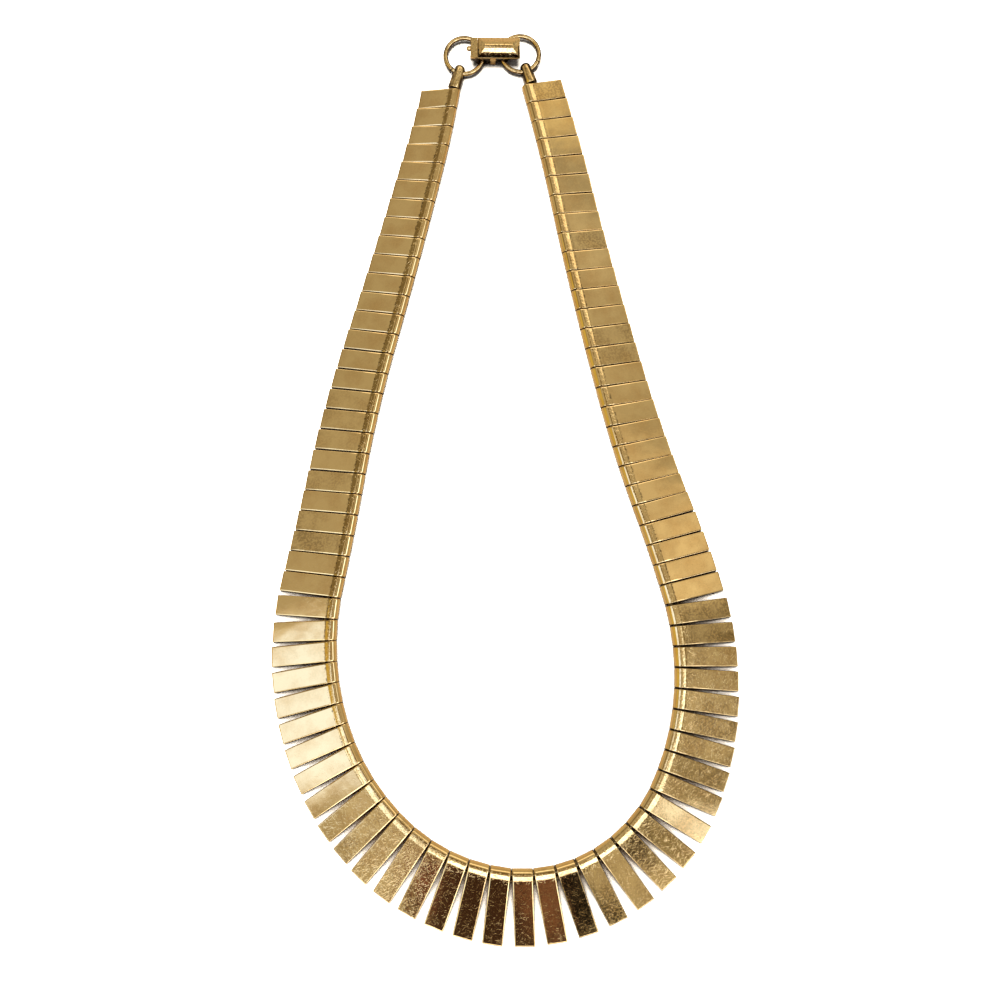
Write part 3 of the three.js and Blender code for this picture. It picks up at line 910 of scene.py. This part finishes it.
def modelClaspTongue(leftWireX, leftRingY, bright, dull):
    halfDepth, endHalf = clasp["trayHalfDepth"], clasp["tongueHalfDepth"]
    outer = -clasp["length"] / 2 - clasp["tongueEnd"]
    inner = leftWireX + clasp["loopReach"]
    end = addBlock("tongueEnd", outer, -clasp["length"] / 2 - clasp["tongueGap"], -endHalf, endHalf,
                   clasp["tongueLow"], clasp["tongueTop"])
    bevelPiece(end, clasp["tongueRound"], 4, lambda e: all(v.co.x < outer + near for v in e.verts))
    smooth(end, 40)
    sole = addBlock("tongueSole", outer + clasp["soleInset"], inner, -halfDepth, halfDepth,
                    clasp["trayLow"], clasp["loopTop"])
    bevelPiece(sole, clasp["soleRound"], 3)
    smooth(sole, 40)
    loop = modelLoop("loop", leftWireX - clasp["loopOuter"], inner, leftRingY, clasp["loopTop"],
                     leftWireX, -1)
    # the knob is a ball pressed on to a short neck
    deselectAll()
    knobAt = (outer - clasp["knobOut"], 0, clasp["knobHeight"])
    bpy.ops.mesh.primitive_uv_sphere_add(segments=28, ring_count=16, radius=clasp["knob"], location=knobAt,
                                         rotation=(0, math.pi / 2, 0))
    knob = bpy.context.object
    bakePlace(knob)
    editing(knob)
    pick(knob, "VERT", lambda v: v.co.x > knobAt[0] + clasp["neckFrom"])
    bpy.ops.transform.resize(value=(1, clasp["neckWidth"], clasp["neckWidth"]), center_override=knobAt)
    bpy.ops.transform.translate(value=(clasp["neckLonger"], 0, 0))
    doneEditing()
    smooth(knob, 60)
    for part, material in ((end, bright), (sole, dull), (loop, dull), (knob, bright)):
        paint(part, material)
    return joinAll([end, sole, loop, knob], "claspTongue")


# ---- the wire that the plates are strung on

stringing = {
    "ends": 0.9,         # share of the end plates' half width that the rods reach
    "rods": {
        "outerWire": {"reach": 2.85 * mm, "height": 1.05 * mm, "radius": 0.5 * mm, "around": 12},
        # a dark rod inside the rolls, seen only through the gaps between the plates, where it stands in for
        # shade: a painted shade
        "rollShadeCore": {"reach": 1.34 * mm, "height": 1.3 * mm, "radius": 0.98 * mm, "around": 16},
    },
}


def modelStringing(links):
    half = plate["width"] / 2 * stringing["ends"]
    rods = []
    for name, rod in stringing["rods"].items():
        line = [pointOn(links[0], -half, rod["reach"], rod["height"])]
        line += [pointOn(link, 0, rod["reach"], rod["height"]) for link in links]
        line.append(pointOn(links[-1], half, rod["reach"], rod["height"]))
        rods.append(modelRod(name, line, rod["radius"], rod["around"]))
    return joinAll(rods, "linkWire")


# ---- materials

brass = {
    "light": "#eec57c",
    "deep": "#d8a45a",
    "deepClouds": {"From Min": 0.42, "From Max": 0.72, "To Max": 0.5},
    "patinaAndShade": "#35220f",
    "roughness": 0.075,
    "haze": 0.06,            # how far the roughness wanders
    "dullRoughness": 0.3,    # added where the metal is brown
    "hiddenBrownAndShade": 0.85,        # least share of brown on the hidden parts: patina, and painted shade on the core inside the rolls and on the tray and loops under the lid
    "waves": 0.013,          # mm high, 3 mm across
    "peel": 0.0026,          # mm high, half a millimetre across
    "wavePattern": {"Scale": 0.34, "Detail": 1.0},
    "peelPattern": {"Scale": 2.3, "Detail": 1.5, "Roughness": 0.5},
    "cloudPattern": {"Scale": 0.22, "Detail": 4.0},
}

hairlines = {
    "depth": 0.0025,         # mm, and drawn 0.2 mm wide, broader than they are, so that they show
    # turn in degrees, and how many to the mm across, along and down
    "strokes": ((28, (6.0, 0.7, 1.0)), (-52, (5.5, 0.6, 1.0)), (81, (6.5, 0.8, 1.0))),
    "strokePattern": {"Scale": 1.0, "Detail": 1.0, "Distortion": 0.7},
    "crest": 0.66,           # how high the noise stands where a stroke begins, on rings, hooks and clasp
    "plateCrest": 0.685,     # and on the plates, less wornCrest for every step of wear
    "wornCrest": 0.025,
    "crestSpan": 0.07,
    # how much stronger the marks are on the roll, by mm from the inner edge, and on rings, hooks and clasp
    "roll": {"From Min": 1.0, "From Max": 1.4, "To Max": 8.0},
    "rollEnds": 1.9,         # mm, and wornRollEnds further out for every step of wear
    "wornRollEnds": 2.6,
    "fitting": 4.5,
}

# where the metal is brown, partly patina and stain and partly painted shade and dark reflection, by a
# distance, or by a noise that breaks it up
plateBrown = {
    # mm below the top skin where the brown down the walls, partly patina and partly painted shade, begins and
    # where it is full, by plain edges and by edges painted dark
    "wallBegins": (0.14, 0.005),
    "wallFull": (0.32, 0.035),
    "wall": {"To Max": 0.97},
    "patches": {"From Min": 0.40, "From Max": 0.54, "To Min": 0.35},
    "flecks": {"From Min": 0.42, "From Max": 0.56, "To Min": 0.30},
    "scratchedOff": 0.85,
    # the two sides of the crook behind the roll, in mm from the inner edge, and the dots in it
    "crookInside": {"From Min": 2.3, "From Max": 2.5},
    "crookOutside": {"From Min": 2.95, "From Max": 2.55},
    "dots": {"From Min": 0.5, "From Max": 0.62, "To Max": 0.7},
    "dotsByWear": {"From Min": 1.0, "From Max": 0.3, "To Min": 0.15},
}

fittingBrown = {
    "low": {"From Min": 1.8 * mm, "From Max": 1.3 * mm, "To Max": 0.9},
    "cornerReach": 1.6 * mm,
    "corners": {"From Min": 0.5, "From Max": 0.12},
    "sides": {"From Min": 0.12, "From Max": 0.32, "To Max": 0.97},
    "belowLid": {"From Min": 3.5 * mm, "From Max": 3.2 * mm},
    "breaks": {"From Min": 0.38, "From Max": 0.48, "To Min": 0.35},
    "lidFoot": {"From Min": 0.70, "From Max": 0.94, "To Max": 0.9},
    "specks": {"From Min": 0.52, "From Max": 0.68, "To Max": 0.4},
    "sparedTab": {"From Min": -1.0, "From Max": 0.0, "To Min": 0.1},
}


def drawHairlines(tree, inMm, worn):
    # three directions, each a stretched noise cut to thin crests, more of them where the metal is worn
    crest, span = hairlines["crest"], hairlines["crestSpan"]
    cut = {"From Min": crest, "From Max": crest + span}
    if worn:
        begins = addNode(tree, "ShaderNodeMath", {
            **timesPlus, 0: worn, 1: -hairlines["wornCrest"], 2: hairlines["plateCrest"]})
        full = addNode(tree, "ShaderNodeMath", {**plus, 0: begins, 1: span})
        cut = {"From Min": begins, "From Max": full}
    scratch = 0.0
    for turn, stretch in hairlines["strokes"]:
        turned = addNode(tree, "ShaderNodeMapping", {"Vector": inMm, "Rotation": (0, 0, math.radians(turn))})
        drawn = addNode(tree, "ShaderNodeMapping", {"Vector": turned, "Scale": stretch})
        lines = addNode(tree, "ShaderNodeTexNoise", {**hairlines["strokePattern"], "Vector": drawn})
        thin = addNode(tree, "ShaderNodeMapRange", {**easing, **cut, "Value": lines})
        scratch = addNode(tree, "ShaderNodeMath", {**larger, 0: scratch, 1: thin})
    return scratch


def strengthOfMarks(tree, reach, worn):
    # strongest on the roll, and further down the plate where it is worn
    onto = addNode(tree, "ShaderNodeMapRange", {**easing, **hairlines["roll"], "Value": reach})
    until = addNode(tree, "ShaderNodeMath", {
        **timesPlus, 0: worn, 1: hairlines["wornRollEnds"], 2: hairlines["rollEnds"]})
    off = addNode(tree, "ShaderNodeMapRange", {
        **easing, "From Min": until, "From Max": hairlines["rollEnds"], "Value": reach})
    crest = addNode(tree, "ShaderNodeMath", {**times, 0: onto, 1: off})
    return addNode(tree, "ShaderNodeMath", {**larger, 0: worn, 1: crest})


def brownOnPlates(tree, carried, scratch, peel, clouds):
    # brown down the walls, partly patina in the gaps and partly painted shade, from further up on the links
    # whose edges are painted dark
    depths = {}
    for end, (bright, dull) in (("From Min", plateBrown["wallBegins"]), ("From Max", plateBrown["wallFull"])):
        depths[end] = addNode(tree, "ShaderNodeMath", {
            **timesPlus, 0: carried["edgeShaded"], 1: dull - bright, 2: bright})
    wall = addNode(tree, "ShaderNodeMapRange", {
        **easing, **plateBrown["wall"], **depths, "Value": carried["belowTop"]})
    # brown patches, partly stain and partly painted dark reflection, broken into patches and flecks, and
    # fresh scratches that cut through them to bright metal
    patches = addNode(tree, "ShaderNodeMapRange", {**plateBrown["patches"], "Value": clouds})
    flecks = addNode(tree, "ShaderNodeMapRange", {**plateBrown["flecks"], "Value": peel})
    uncut = addNode(tree, "ShaderNodeMath", {**timesPlus, 0: scratch, 1: -plateBrown["scratchedOff"], 2: 1.0})
    # dots in the crook of the roll, fewer where the plate is worn
    reach = carried["fromInnerEdge"]
    inside = addNode(tree, "ShaderNodeMapRange", {**easing, **plateBrown["crookInside"], "Value": reach})
    outside = addNode(tree, "ShaderNodeMapRange", {**easing, **plateBrown["crookOutside"], "Value": reach})
    left = addNode(tree, "ShaderNodeMapRange", {**plateBrown["dotsByWear"], "Value": carried["worn"]})
    dots = addNode(tree, "ShaderNodeMapRange", {**easing, **plateBrown["dots"], "Value": peel})
    brownAndShade = wall
    for brown, thinnedBy in ((carried["brownPatch"], (patches, flecks, uncut)), (dots, (inside, outside, left))):
        for part in thinnedBy:
            brown = addNode(tree, "ShaderNodeMath", {**times, 0: brown, 1: part})
        brownAndShade = addNode(tree, "ShaderNodeMath", {**larger, 0: brownAndShade, 1: brown})
    return wall, brownAndShade


def brownOnFittings(tree, brownPatch, height, peel, clouds):
    # painted shade low down near the floor, and in corners found by ambient occlusion, where it is partly
    # patina
    low = addNode(tree, "ShaderNodeMapRange", {**easing, **fittingBrown["low"], "Value": height})
    corner = addNode(tree, "ShaderNodeAmbientOcclusion", {
        "samples": 6, "Distance": fittingBrown["cornerReach"]})
    hidden = addNode(tree, "ShaderNodeMapRange", {
        **easing, **fittingBrown["corners"], "Value": corner.outputs["AO"]})
    dull = addNode(tree, "ShaderNodeMath", {**larger, 0: low, 1: hidden})
    # painted dark reflection along the sides turned away from the view, broken up in clouds
    away = addNode(tree, "ShaderNodeLayerWeight", {"Blend": 0.5}).outputs["Facing"]
    sides = addNode(tree, "ShaderNodeMapRange", {**easing, **fittingBrown["sides"], "Value": away})
    belowLid = addNode(tree, "ShaderNodeMapRange", {**fittingBrown["belowLid"], "Value": height})
    broken = addNode(tree, "ShaderNodeMapRange", {**fittingBrown["breaks"], "Value": clouds})
    edging = addNode(tree, "ShaderNodeMath", {**times, 0: sides, 1: broken})
    outline = addNode(tree, "ShaderNodeMath", {**times, 0: edging, 1: belowLid})
    # painted shade, ragged along the foot of the lid's front slope, and brown in specks
    ragged = addNode(tree, "ShaderNodeMath", {**plus, 0: brownPatch, 1: peel})
    foot = addNode(tree, "ShaderNodeMapRange", {**easing, **fittingBrown["lidFoot"], "Value": ragged})
    specks = addNode(tree, "ShaderNodeMapRange", {**fittingBrown["specks"], "Value": peel})
    brownAndShade = dull
    for part in (outline, foot, specks):
        brownAndShade = addNode(tree, "ShaderNodeMath", {**larger, 0: brownAndShade, 1: part})
    # hardly any of it stays on the tab
    left = addNode(tree, "ShaderNodeMapRange", {**fittingBrown["sparedTab"], "Value": brownPatch})
    brownAndShade = addNode(tree, "ShaderNodeMath", {**times, 0: brownAndShade, 1: left})
    return dull, brownAndShade


def antiqueBrass(name, onPlates=False, leastBrown=0.0):
    # gold-tone brass, polished, lacquered and worn: a warm mirror, rippled, hazed by fine hairlines,
    # with brown patina where a cloth does not reach, and painted shade and dark reflection in the same brown
    metal = bpy.data.materials.new(name)
    metal.use_nodes = True
    tree = metal.node_tree
    shader = tree.nodes["Principled BSDF"]
    shader.inputs["Metallic"].default_value = 1.0
    spot = addNode(tree, "ShaderNodeTexCoord").outputs["Object"]
    height = addNode(tree, "ShaderNodeSeparateXYZ", {0: spot}).outputs[2]
    # the numbers that the points of the mesh carry
    kinds = ("worn", "fromInnerEdge", "belowTop", "edgeShaded", "brownPatch") if onPlates else ("brownPatch",)
    carried = {kind: addNode(tree, "ShaderNodeAttribute", {"attribute_name": kind}).outputs["Fac"]
               for kind in kinds}
    if onPlates:
        spot = addNode(tree, "ShaderNodeAttribute", {"attribute_name": "plateSpace"}).outputs["Vector"]
    inMm = addNode(tree, "ShaderNodeMapping", {"Vector": spot, "Scale": (1 / mm, 1 / mm, 1 / mm)})
    waves, peel, clouds = (addNode(tree, "ShaderNodeTexNoise", {**brass[pattern], "Vector": inMm})
                           for pattern in ("wavePattern", "peelPattern", "cloudPattern"))
    scratch = drawHairlines(tree, inMm, carried.get("worn"))
    if onPlates:
        strength = strengthOfMarks(tree, carried["fromInnerEdge"], carried["worn"])
        dull, brownAndShade = brownOnPlates(tree, carried, scratch, peel, clouds)
    else:
        strength = hairlines["fitting"]
        dull, brownAndShade = brownOnFittings(tree, carried["brownPatch"], height, peel, clouds)
    # surface relief, in mm
    high = addNode(tree, "ShaderNodeMath", {**times, 0: waves, 1: brass["waves"]})
    grain = addNode(tree, "ShaderNodeMath", {**times, 0: peel, 1: brass["peel"]})
    marks = addNode(tree, "ShaderNodeMath", {**timesPlus, 0: scratch, 1: -hairlines["depth"], 2: grain})
    relief = addNode(tree, "ShaderNodeMath", {**timesPlus, 0: marks, 1: strength, 2: high})
    bump = addNode(tree, "ShaderNodeBump", {"Distance": 1 * mm, "Strength": 1.0, "Height": relief})
    tree.links.new(bump.outputs[0], shader.inputs["Normal"])
    # colour: light and deep gold in clouds, under the brown of patina and painted shade
    shade = addNode(tree, "ShaderNodeMapRange", {**brass["deepClouds"], "Value": clouds})
    gold = addNode(tree, "ShaderNodeMix", {
        **blend, 0: shade, 6: linear(brass["light"]), 7: linear(brass["deep"])})
    if leastBrown:
        brownAndShade = addNode(tree, "ShaderNodeMath", {**larger, 0: brownAndShade, 1: leastBrown})
    surface = addNode(tree, "ShaderNodeMix", {
        **blend, 0: brownAndShade, 6: gold.outputs[2], 7: linear(brass["patinaAndShade"])})
    tree.links.new(surface.outputs[2], shader.inputs["Base Color"])
    # roughness: a faint haze in clouds, and duller where it is brown
    hazed = addNode(tree, "ShaderNodeMath", {
        **timesPlus, 0: clouds, 1: brass["haze"], 2: brass["roughness"] - brass["haze"] / 2})
    rough = addNode(tree, "ShaderNodeMath", {**timesPlus, 0: dull, 1: brass["dullRoughness"], 2: hazed})
    tree.links.new(rough.outputs[0], shader.inputs["Roughness"])
    return metal


print("camera, light and floor")
makeCamera()
makeWorld()
makeFloor()
scene.view_settings.view_transform = "Standard"

print("plates")
links = walkChain()
plateBrass = antiqueBrass("polishedPlateBrass", onPlates=True)
fittingBrass = antiqueBrass("polishedFittingBrass")
wireBrass = antiqueBrass("shadedHiddenBrass", leastBrown=brass["hiddenBrownAndShade"])
master = modelPlate()
settleNormals(master)
smooth(master, 12)
plates = [placePlate(master, link, number) for number, link in enumerate(links)]
bpy.data.objects.remove(master)
firstLoose, lastLoose = chain["firstLoose"], chain["lastLoose"]
for piece in plates:
    paint(piece, plateBrass)
finishPiece(joinAll(plates[:firstLoose], "leftSidePlates"), "plate_gold", "left_side_plates")
finishPiece(joinAll(plates[lastLoose + 1:], "rightSidePlates"), "plate_gold", "right_side_plates")
for i in range(firstLoose, lastLoose + 1):
    place = i - firstLoose + 1
    plates[i].name = f"frontPlate{place:02d}"
    finishPiece(plates[i], "plate_gold", f"front_plate_{place:02d}")

print("link wire")
wire = modelStringing(links)
paint(wire, wireBrass)
finishPiece(wire, "wire_gold", "link_wire")

print("rings and hooks")
fittings = {
    "left_ring": modelRing("leftRing", "left_ring", ring["leftButtAt"]),
    "right_ring": modelRing("rightRing", "right_ring", ring["rightButtAt"]),
    "left_end_hook": modelHook("leftHook", links[0], -1, hook["leftReach"], "left_ring"),
    "right_end_hook": modelHook("rightHook", links[-1], 1, hook["rightReach"], "right_ring"),
}
for node, piece in fittings.items():
    paint(piece, fittingBrass)
    finishPiece(piece, "fitting_gold", node)

print("clasp")
middle = middleOf("clasp_box").xy.to_3d()
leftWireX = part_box("left_ring")[1].x - ring["modelWire"] - middle.x
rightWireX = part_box("right_ring")[0].x + ring["modelWire"] - middle.x
leftRingY = middleOf("left_ring").y - middle.y
rightRingY = middleOf("right_ring").y - middle.y
box = modelClaspBox(leftWireX, rightWireX, rightRingY, fittingBrass, wireBrass)
tongue = modelClaspTongue(leftWireX, leftRingY, fittingBrass, wireBrass)
for piece, node in ((box, "clasp_box"), (tongue, "clasp_tongue")):
    piece.data.transform(Matrix.Translation(middle))
    finishPiece(piece, "fitting_gold", node)
